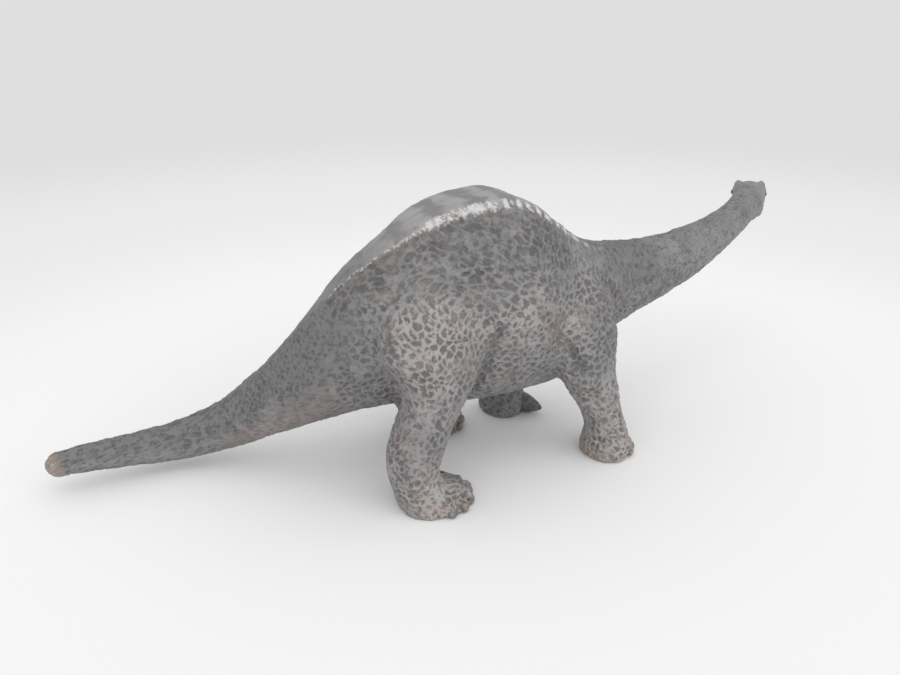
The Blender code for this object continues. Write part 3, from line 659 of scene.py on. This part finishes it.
def carve_skin(skin):
    """Press the skin's nets, folds and band into the mesh, and mark them for the paint."""
    mesh = skin.data
    points, normals = read_vertices(mesh, "co") / MM, read_vertices(mesh, "normal")
    run, across, up = body_places(points)
    x, y, z = points.T
    leg = np.max([leg_share(points, name) for name in LEGS], axis=0)
    tail = ease(-80.0, -112.0, x)
    neck = ease(46.0, 80.0, x)
    head = ease(170.0, 178.0, x)
    crest = ease(-115.0, -95.0, x) * ease(172.0, 160.0, x) * (1 - leg)
    band = ease(0.48, 0.38, np.abs(across)) * ease(0.72, 0.90, up) * crest * ease(34.0, -14.0, x)
    flank = (1 - leg) * (1 - tail) * (1 - neck)

    wavy = waver(waver(points, 8.0, 1.5, 11), 2.6, 0.55, 14)
    drift = soft_noise(points / 14.0, 34)
    shifted = x + 9.0 * drift
    low_neck = neck * ease(0.3, -0.4, up) * ease(120.0, 80.0, x)
    shoulder = ease(10.0, 30.0, x) * ease(58.0, 74.0, z) * (1 - neck)
    low_flank = ease(88.0, 82.0, z + 7.0 * drift)
    limb = ease(0.38, 0.62, leg + 0.12 * drift)
    trunk = 1 - ease(0.40, 0.60, tail + 0.15 * drift)
    upper = trunk * (1 - limb) * (1 - neck) * (1 - low_flank) * (1 - 0.85 * shoulder)
    rear, front = ease(-50.0, -54.0, shifted), ease(-8.0, -4.0, shifted)
    pits = np.zeros(len(points))
    plain = trunk * (1 - limb) * (1 - neck) * low_flank * (1 - 0.85 * shoulder)
    nets = (
        (upper * rear, (6.4, 3.2, 4.2), 22.0, 0.0),
        (upper * (1 - rear) * (1 - front), (6.2, 3.2, 4.2), -32.0, 0.0),
        (upper * front, (4.6, 3.2, 3.6), 68.0, 0.0),
        (limb + plain, (3.2, 3.2, 3.2), 35.0, 0.06),
        (0.62 * (1 - trunk) * (1 - limb), (6.0, 2.3, 2.7), 12.0, 0.0),
        (0.50 * neck, (3.8, 1.9, 2.4), 14.0, 0.0),
        (0.45 * np.maximum(low_neck, shoulder), (2.4, 9.0, 2.6), -12.0, 0.0),
    )
    for number, (weight, sizes, turn, ridge) in enumerate(nets):
        add_bowls(pits, weight, wavy, normals, sizes, turn, ridge, 21 + 7 * number)
    pits *= 1 - 0.20 * ease(-72.0, -95.0, x) * (1 - tail) * (1 - limb)
    pits *= (1 - 0.80 * band) * (1 - 0.3 * head) * (0.85 + 0.30 * soft_noise(points / 9.0, 33))
    folds, ridges = press_folds(points)
    pit = np.clip(pits / 0.85 - 0.3 * ridges, 0, 1)
    # The pit mark darkens the paint in the cells and along the folds, mouth and nostrils: partly darker
    # paint, partly painted shade in the hollows and creases.
    marks = {"pit": np.clip(pit + (0.35 + 0.45 * head) * folds, 0, 1)}
    lumps = soft_noise(points / 11.0, 31) * 0.35 + soft_noise(points / 4.6, 36) * 0.24
    lumps = (lumps + soft_noise(points / 2.4, 32) * 0.20) * (1 - 0.45 * band)
    carved = 1.20 * pits + (0.50 - lumps) * (1 - 0.3 * head) + folds - 0.5 * ridges
    points -= normals * carved[:, None]

    flipped = np.stack((x, MIDDLE_Y - np.abs(y - MIDDLE_Y), z), axis=1)
    tone_and_shading = 0.20 * soft_noise(points / 16.0, 41) + 0.12 * soft_noise(points / 5.0, 44)
    for middle, radius, amount in TONE_PATCHES:
        tone_and_shading += bell(np.linalg.norm(flipped - middle, axis=1), amount, radius)
    tone_and_shading -= 0.42 * tail * ease(-0.2, 0.5, up) + 0.28 * ease(30.0, 60.0, x) * ease(-0.3, 0.4, up) * (1 - head)
    # Painted shade and light: the lower legs on the far (left) side are painted darker, and those on the near
    # (right) side lighter.
    tone_and_shading -= 0.25 * ease(40.0, 0.0, z) * ease(-12.0, 12.0, y) * leg
    tone_and_shading += 0.42 * ease(60.0, 15.0, z) * ease(0.0, -20.0, y) * leg
    tone_and_shading -= 0.25 * flank * ease(66.0, 96.0, z) + 0.20 * ease(-45.0, -75.0, x) * (1 - leg)
    marks["tone_and_shading"] = tone_and_shading - 0.02 - 0.06 * ease(100.0, 170.0, x)
    specks = ease(0.10, 0.7, soft_noise(points / 6.0, 42)) * ease(0.2, 0.8, marks["pit"])
    under_tail = tail * ease(0.1, -0.6, up) * ease(-150.0, -115.0, x)
    tip = ease(-196.0, -202.0, x)
    sole = leg * ease(9.0, 2.0, z) * ease(-0.1, 0.5, soft_noise(points / 7.0, 45))
    tan = specks * (0.45 * leg + 0.30 * flank) + 0.30 * under_tail + 0.8 * tip + 0.55 * sole
    marks["tan"] = np.clip(tan, 0, 1)
    solid = ease(-66.0, -56.0, x) * ease(-16.0, -24.0, x)
    thick = 0.045 + 0.060 * ease(-64.0, -50.0, x)
    edge = bell(np.abs(across) - 0.43, 1.0, thick) * ease(0.70, 0.85, up) * ease(-106.0, -88.0, x)
    scallops = ease(-0.40, 0.30, soft_noise(np.stack((run / 2.1, across * 5, up * 5), axis=1), 43))
    wave = np.sin(2 * np.pi * run / 5.8 + 2.2 * soft_noise(points / 6.0, 46))
    strokes = ease(-0.5, 0.4, wave) * ease(-28.0, -20.0, x)
    fading = ease(70.0, 8.0, x) * 0.75 + 0.25 * ease(104.0, 92.0, x)
    worn = np.maximum.reduce((0.25 + 0.40 * scallops, (0.68 + 0.22 * scallops) * solid, 0.86 * strokes))
    fleck = bell(np.linalg.norm(points - HEAD_FLECK, axis=1), 1.0, 2.0)
    marks["wear"] = np.maximum.reduce((edge * worn * fading * crest, 0.50 * tip, 0.75 * fleck))
    under_edge = bell(np.abs(across) - 0.54, 1.0, 0.06) * ease(0.6, 0.75, up) * ease(-95.0, -85.0, x)
    marks["tan"] = np.maximum(marks["tan"], 0.18 * under_edge * ease(-45.0, -55.0, x) * crest)
    marks["band"] = band * (0.25 + 0.75 * ease(-84.0, -56.0, x))
    marks["run"] = run * MM
    low, high = (np.array(corner) / MM for corner in cad_box)
    points = np.clip(points, low, high)
    mesh.vertices.foreach_set("co", (points * MM).ravel())
    mesh.update()
    keep_marks(mesh, marks)


# Parting along the seams


def leg_outline(name):
    """Side view of a leg's seam, from the back of the sole over the top to the front of the sole."""
    toe_x = max(place.x for place, bearing in toe_places(name)) + TOE / 2
    rows = leg_rows(name, 2)
    back = [Vector((row[1], row[0])) for row in rows]
    front = [Vector((row[2], row[0])) for row in rows]
    for point in front:
        if point.y < 2 * TOE:
            point.x = max(point.x, toe_x)
    back[0].y = front[0].y = -SOLE_SINK
    path = back + front[::-1]
    moved = []
    for index, point in enumerate(path):
        along = path[min(index + 1, len(path) - 1)] - path[max(index - 1, 0)]
        moved.append(point + Vector((-along.y, along.x)).normalized() * SEAM_MARGIN)
    moved[0].y = moved[-1].y = -CUT_REACH / 2
    return moved


def leg_space(name):
    """The block of space that belongs to a leg, beyond its slanted seam face."""
    side, plug_height = LEGS[name][1], LEGS[name][4]
    bm = bmesh.new()
    corners = []
    for point in leg_outline(name):
        seam = HIP_SEAM + math.tan(HIP_SEAM_SLANT) * (max(point.y, -SOLE_SINK) - plug_height)
        corners.append(bm.verts.new((point.x, MIDDLE_Y + side * seam, point.y)))
    grown = bmesh.ops.extrude_face_region(bm, geom=[bm.faces.new(corners)])
    for vertex in grown["geom"]:
        if isinstance(vertex, bmesh.types.BMVert):
            vertex.co.y = side * CUT_REACH / 2
    return mesh_object(name + "_space", bm)


def end_space(name, seam):
    """Everything past the neck's or the tail's seam."""
    origin, ahead = (Vector(values) for values in seam)
    ahead.normalize()
    up = (Vector((0, 0, 1)) - ahead * ahead.z).normalized()
    turn = Matrix((ahead, up.cross(ahead), up)).transposed().to_4x4()
    placing = Matrix.Translation(origin) @ turn @ Matrix.Translation((CUT_REACH / 2, 0, 0))
    bm = bmesh.new()
    stretch = Matrix.Diagonal((CUT_REACH, CUT_REACH / 2, END_HEIGHT, 1.0))
    bmesh.ops.create_cube(bm, size=1.0, matrix=placing @ stretch)
    return mesh_object(name + "_space", bm)


def half_space(side):
    """Everything to one side of the upright wall that follows the spine."""
    bm = bmesh.new()
    rows = [row for row in smooth_rows(SPINE, 2) if WALL_RANGE[0] < row[0] < WALL_RANGE[1]]
    wall = [Vector((row[0], row[1], -CUT_REACH / 2)) for row in rows]
    wall[0].x = -CUT_REACH
    wall[-1].x = CUT_REACH
    far = [Vector((point.x, side * CUT_REACH, point.z)) for point in (wall[-1], wall[0])]
    grown = bmesh.ops.extrude_face_region(bm, geom=[bm.faces.new([bm.verts.new(p) for p in wall + far])])
    for vertex in grown["geom"]:
        if isinstance(vertex, bmesh.types.BMVert):
            vertex.co.z = CUT_REACH / 2
    return mesh_object("half_space", bm)


def part_off(name, skin, spaces, inside):
    """A piece of the skin, inside or outside the given spaces."""
    piece = bpy.data.objects.new(name, skin.data)
    bpy.context.scene.collection.objects.link(piece)
    for space in spaces:
        cut = piece.modifiers.new(space.name, "BOOLEAN")
        cut.operation = "INTERSECT" if inside else "DIFFERENCE"
        cut.solver = "MANIFOLD"
        cut.object = space
    return settle(piece)


def part_skin(skin):
    """The eight mouldings."""
    legs = {name: leg_space(name) for name in LEGS}
    ends = {"neck_and_head": end_space("neck_and_head", NECK_SEAM), "tail": end_space("tail", TAIL_SEAM)}
    spaces = {**legs, **ends}
    pieces = {name: part_off(name, skin, [space], True) for name, space in spaces.items()}
    core = part_off("torso", skin, list(spaces.values()), False)
    for name, side in (("torso_left_shell", 1), ("torso_right_shell", -1)):
        half = half_space(side)
        pieces[name] = part_off(name, core, [half], True)
        bpy.data.objects.remove(half)
    for leftover in [core, skin, *spaces.values()]:
        bpy.data.objects.remove(leftover)
    return pieces


# Paint


class Paint:
    """The node tree of one finish, with short calls for what it mixes."""

    def __init__(self, name):
        self.material = bpy.data.materials.new(name)
        self.material.use_nodes = True
        self.tree = self.material.node_tree
        self.shader = self.tree.nodes["Principled BSDF"]
        self.place = self.add("ShaderNodeTexCoord").outputs["Object"]

    def add(self, kind, **settings):
        made = self.tree.nodes.new(kind)
        for name, value in settings.items():
            setattr(made, name, value)
        return made

    def feed(self, socket, value):
        if isinstance(value, bpy.types.NodeSocket):
            self.tree.links.new(value, socket)
        elif isinstance(value, tuple):
            socket.default_value = (*value, 1.0) if len(socket.default_value) == 4 else value
        else:
            socket.default_value = value

    def mark(self, name):
        return self.add("ShaderNodeAttribute", attribute_name=name).outputs["Fac"]

    def noise(self, width, detail=2.0, offset=0.0):
        """Noise from 0 to 1 with features of a width in millimetres."""
        moved = self.add("ShaderNodeMapping")
        self.feed(moved.inputs["Vector"], self.place)
        moved.inputs["Location"].default_value = (offset, offset, offset)
        made = self.add("ShaderNodeTexNoise")
        self.feed(made.inputs["Vector"], moved.outputs["Vector"])
        self.feed(made.inputs["Scale"], 1 / (width * MM))
        self.feed(made.inputs["Detail"], detail)
        return made.outputs["Fac"]

    def calc(self, operation, first, second):
        made = self.add("ShaderNodeMath", operation=operation)
        self.feed(made.inputs[0], first)
        self.feed(made.inputs[1], second)
        return made.outputs["Value"]

    def ease(self, value, low, high):
        made = self.add("ShaderNodeMapRange", interpolation_type="SMOOTHSTEP")
        self.feed(made.inputs["Value"], value)
        self.feed(made.inputs["From Min"], low)
        self.feed(made.inputs["From Max"], high)
        return made.outputs["Result"]

    def mix(self, share, first, second, blend="MIX"):
        made = self.add("ShaderNodeMix", data_type="RGBA", blend_type=blend)
        self.feed(made.inputs["Factor"], share)
        self.feed(made.inputs[6], first)
        self.feed(made.inputs[7], second)
        return made.outputs[2]

    def bump(self, height, reach):
        """Fine relief of a reach in millimetres."""
        made = self.add("ShaderNodeBump")
        self.feed(made.inputs["Height"], height)
        self.feed(made.inputs["Strength"], 1.0)
        self.feed(made.inputs["Distance"], reach * MM)
        self.feed(self.shader.inputs["Normal"], made.outputs["Normal"])

    def coat(self, colour, roughness):
        """The material, with its colour and roughness."""
        self.feed(self.shader.inputs["Base Color"], colour)
        self.feed(self.shader.inputs["Roughness"], roughness)
        return self.material


# Greys of the ridges and of the darker cells: the darker cells are partly paint and partly painted shade in
# the hollows, and the lighter ridges partly a painted sheen.
CELL_GREY = (0.130, 0.127, 0.127)
RIDGE_GREY = (0.246, 0.240, 0.239)
# Paler and darker copies of the greys, chosen by the mark of paler and darker paint, which on the lower legs
# also carries painted light and shade.
PALE_CELL_GREY = (0.157, 0.148, 0.143)
PALE_RIDGE_GREY = (0.370, 0.350, 0.338)
DUSK_CELL_GREY = (0.093, 0.091, 0.092)
DUSK_RIDGE_GREY = (0.174, 0.171, 0.172)
BAND_GREY = (0.335, 0.326, 0.320)
BAR_GREY = (0.195, 0.193, 0.193)
WORN_WHITE = (0.60, 0.59, 0.575)
TAN = (0.33, 0.25, 0.195)
# The band's bars in metres of run along the spine: their pitch, and where they fade in from the tail's tip
BAR_PITCH = 0.016
BARS_FADE = (0.245, 0.215)


def painted_vinyl():
    """Grey vinyl, darker in its cells and creases, partly as paint and partly as painted shade, with a barred
    band and worn edges.
    """
    paint = Paint("grey_moulded_vinyl")
    grain = paint.noise(1.1, 3.0)
    cloud = paint.noise(9.0, 3.0, 0.3)
    blotch = paint.noise(2.9, 2.0, 2.3)
    rough = paint.calc("ADD", paint.calc("MULTIPLY", grain, 1.4), paint.calc("MULTIPLY", blotch, 1.8))
    pit = paint.calc("ADD", paint.mark("pit"), paint.calc("SUBTRACT", rough, 1.6))
    pit = paint.ease(pit, 0.0, 0.9)
    clouds = paint.calc("MULTIPLY", paint.calc("SUBTRACT", cloud, 0.5), 0.8)
    tone_and_shading = paint.calc("ADD", paint.mark("tone_and_shading"), clouds)
    # Painted shade and sheen: the cells and creases take the darker grey, the ridges the lighter one.
    plain = paint.mix(pit, RIDGE_GREY, CELL_GREY)
    pale = paint.mix(pit, PALE_RIDGE_GREY, PALE_CELL_GREY)
    # Paler and darker paint, which on the lower legs is also painted light and shade.
    skin = paint.mix(paint.ease(tone_and_shading, 0.0, 0.8), plain, pale)
    dusk = paint.mix(pit, DUSK_RIDGE_GREY, DUSK_CELL_GREY)
    skin = paint.mix(paint.ease(tone_and_shading, 0.0, -0.6), skin, dusk)
    along = paint.calc("ADD", paint.mark("run"), paint.calc("MULTIPLY", cloud, 0.018))
    bars = paint.calc("SINE", paint.calc("MULTIPLY", along, 2 * math.pi / BAR_PITCH), 0.0)
    bars = paint.calc("MULTIPLY", paint.ease(bars, -0.7, 1.1), paint.ease(paint.mark("run"), *BARS_FADE))
    band = paint.mix(bars, BAND_GREY, BAR_GREY)
    band = paint.mix(paint.calc("MULTIPLY", paint.ease(cloud, 0.4, 0.7), 0.4), band, RIDGE_GREY)
    skin = paint.mix(paint.mark("band"), skin, band)
    skin = paint.mix(paint.calc("MULTIPLY", paint.mark("tan"), 0.8), skin, TAN)
    flecks = paint.ease(paint.calc("ADD", paint.mark("wear"), paint.noise(1.2, 4.0, 0.7)), 0.95, 1.40)
    skin = paint.mix(flecks, skin, WORN_WHITE)
    tint = paint.mix(paint.noise(5.0, 2.0, 1.7), (1.05, 0.985, 0.965), (0.95, 1.01, 1.03))
    skin = paint.mix(1.0, skin, tint, "MULTIPLY")
    paint.bump(paint.calc("ADD", grain, paint.noise(0.45, 2.0, 1.1)), 0.10)
    return paint.coat(skin, paint.calc("ADD", 0.48, paint.calc("MULTIPLY", grain, 0.22)))


def horn(name, dark, pale):
    """Horn with a paler colour worn through it."""
    paint = Paint(name)
    worn = paint.ease(paint.noise(2.2, 2.0), 0.42, 0.62)
    paint.bump(paint.noise(0.6, 2.0), 0.08)
    return paint.coat(paint.mix(worn, dark, pale), 0.5)


def eye_gloss():
    paint = Paint("dark_eye")
    return paint.coat(paint.mix(paint.noise(1.0, 2.0), (0.02, 0.018, 0.016), (0.05, 0.04, 0.03)), 0.2)


def pale_floor():
    """A pale sheet with a painted falloff of light: painted a little darker away from the figure."""
    paint = Paint("pale_floor")
    length = paint.add("ShaderNodeVectorMath", operation="LENGTH")
    paint.feed(length.inputs[0], paint.place)
    away = length.outputs["Value"]
    near = paint.mix(paint.noise(400.0, 1.0), (0.876, 0.874, 0.872), (0.890, 0.887, 0.884))
    # Painted falloff of light: the sheet is painted darker further from the figure.
    sheet = paint.mix(paint.ease(away, 0.22, 0.46), near, (0.785, 0.782, 0.780))
    sheet = paint.mix(paint.ease(away, 0.45, 0.80), sheet, (0.695, 0.690, 0.690))
    paint.feed(paint.shader.inputs["Specular IOR Level"], 0.0)
    return paint.coat(sheet, 0.9)


# Details, stage and camera


def show(name, bm, material):
    """A finished detail on the figure, kept above the ground and inside the solids' box."""
    for vertex in bm.verts:
        vertex.co.z = max(vertex.co.z, 0.0)
    piece = mesh_object(name, bm)
    low, high = cad_box
    for vertex in piece.data.vertices:
        vertex.co = Vector([min(max(c, l), h) for c, l, h in zip(vertex.co, low, high)])
    piece.data.materials.append(material)
    piece.data.shade_smooth()
    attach(piece, BODY)


def add_claw(bm, name):
    """A thumb claw that tapers forwards and down from the inner side of a fore foot."""
    middle, radius = pad_place(name)[:2]
    out = heading(CLAWS[name])
    aside = Vector((-out.y, out.x, 0))
    sections = []
    for share, level, size in CLAW_SHAPE:
        place = middle + out * (radius + CLAW_LENGTH * share) + Vector((0, 0, level))
        sections.append((place, aside * size, Vector((0, 0, size * 0.95))))
    loft(bm, sections)


def nails(nail_horn, claw_horn):
    """A nail on every toe, and the thumb claws."""
    for name in LEGS:
        bm = bmesh.new()
        size = 1.0 if name.startswith("rear") else FORE_NAIL_SIZE
        radii = [radius * size for radius in NAIL_RADII]
        for place, bearing in toe_places(name):
            out = Vector((math.cos(bearing), math.sin(bearing), 0))
            add_ball(bm, place + out * NAIL_OUT + Vector((0, 0, NAIL_LIFT)), radii, bearing, 20)
        show(name + "_nails", bm, nail_horn)
    for name in CLAWS:
        bm = bmesh.new()
        add_claw(bm, name)
        show(name + "_claw", bm, claw_horn)


def eyes(material):
    bm = bmesh.new()
    left = Vector((-HEAD_AHEAD.y, HEAD_AHEAD.x, 0))
    for side in (-1, 1):
        add_ball(bm, Vector(EYE_MIDDLE) + left * side * EYE_ASIDE, EYE_RADII, HEAD_TURN, 24)
    show("eyes", bm, material)


def dress():
    """Put the moulded skin over the solids, with its nails, claws and eyes."""
    skin = fine_skin()
    carve_skin(skin)
    material = painted_vinyl()
    for name, piece in part_skin(skin).items():
        piece.name = name + "_skin"
        piece.data.name = piece.name
        piece.data.materials.clear()
        piece.data.materials.append(material)
        piece.data.shade_smooth()
        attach(piece, BODY)
        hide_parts(name)
    nails(horn("tan_horn", (0.150, 0.143, 0.138), (0.270, 0.236, 0.200)),
          horn("dark_horn", (0.085, 0.081, 0.080), (0.150, 0.139, 0.128)))
    eyes(eye_gloss())


def studio():
    """Pale floor and backdrop, and soft light."""
    bm = bmesh.new()
    bmesh.ops.create_circle(bm, cap_ends=True, segments=96, radius=FLOOR_RADIUS)
    floor = mesh_object("floor", bm)
    floor.data.materials.append(pale_floor())
    world = bpy.data.worlds.new("studio")
    bpy.context.scene.world = world
    world.use_nodes = True
    tree = world.node_tree
    path = tree.nodes.new("ShaderNodeLightPath")
    seen = path.outputs["Is Camera Ray"]
    for ray in ("Is Glossy Ray", "Is Transmission Ray"):
        either = tree.nodes.new("ShaderNodeMath")
        either.operation = "MAXIMUM"
        tree.links.new(seen, either.inputs[0])
        tree.links.new(path.outputs[ray], either.inputs[1])
        seen = either.outputs["Value"]
    level = tree.nodes.new("ShaderNodeMapRange")
    level.inputs["To Min"].default_value = DOME_LEVEL
    level.inputs["To Max"].default_value = SEEN_LEVEL
    tree.links.new(seen, level.inputs["Value"])
    dome = tree.nodes["Background"]
    dome.inputs["Color"].default_value = DOME_COLOUR
    tree.links.new(level.outputs["Result"], dome.inputs["Strength"])
    lamp = bpy.data.lights.new("overhead", "SUN")
    lamp.angle = math.radians(LAMP_SPREAD)
    lamp.energy = LAMP_LEVEL
    above = bpy.data.objects.new("overhead", lamp)
    above.rotation_euler = Vector(LAMP_FROM).to_track_quat("Z", "Y").to_euler()
    bpy.context.scene.collection.objects.link(above)


def camera():
    """The photograph's angle."""
    data = bpy.data.cameras.new("camera")
    data.lens = CAMERA_LENS
    data.sensor_width = CAMERA_SENSOR
    data.clip_start = CAMERA_NEAR
    made = bpy.data.objects.new("camera", data)
    pitch = math.radians(CAMERA_TILT)
    forwards, aside = CAMERA_HEADING
    ahead = Vector((forwards * math.cos(pitch), aside * math.cos(pitch), -math.sin(pitch)))
    made.location = CAMERA_PLACE
    made.rotation_euler = ahead.to_track_quat("-Z", "Y").to_euler()
    bpy.context.scene.collection.objects.link(made)
    bpy.context.scene.camera = made


dress()
studio()
camera()
bpy.context.scene.view_settings.view_transform = "Standard"
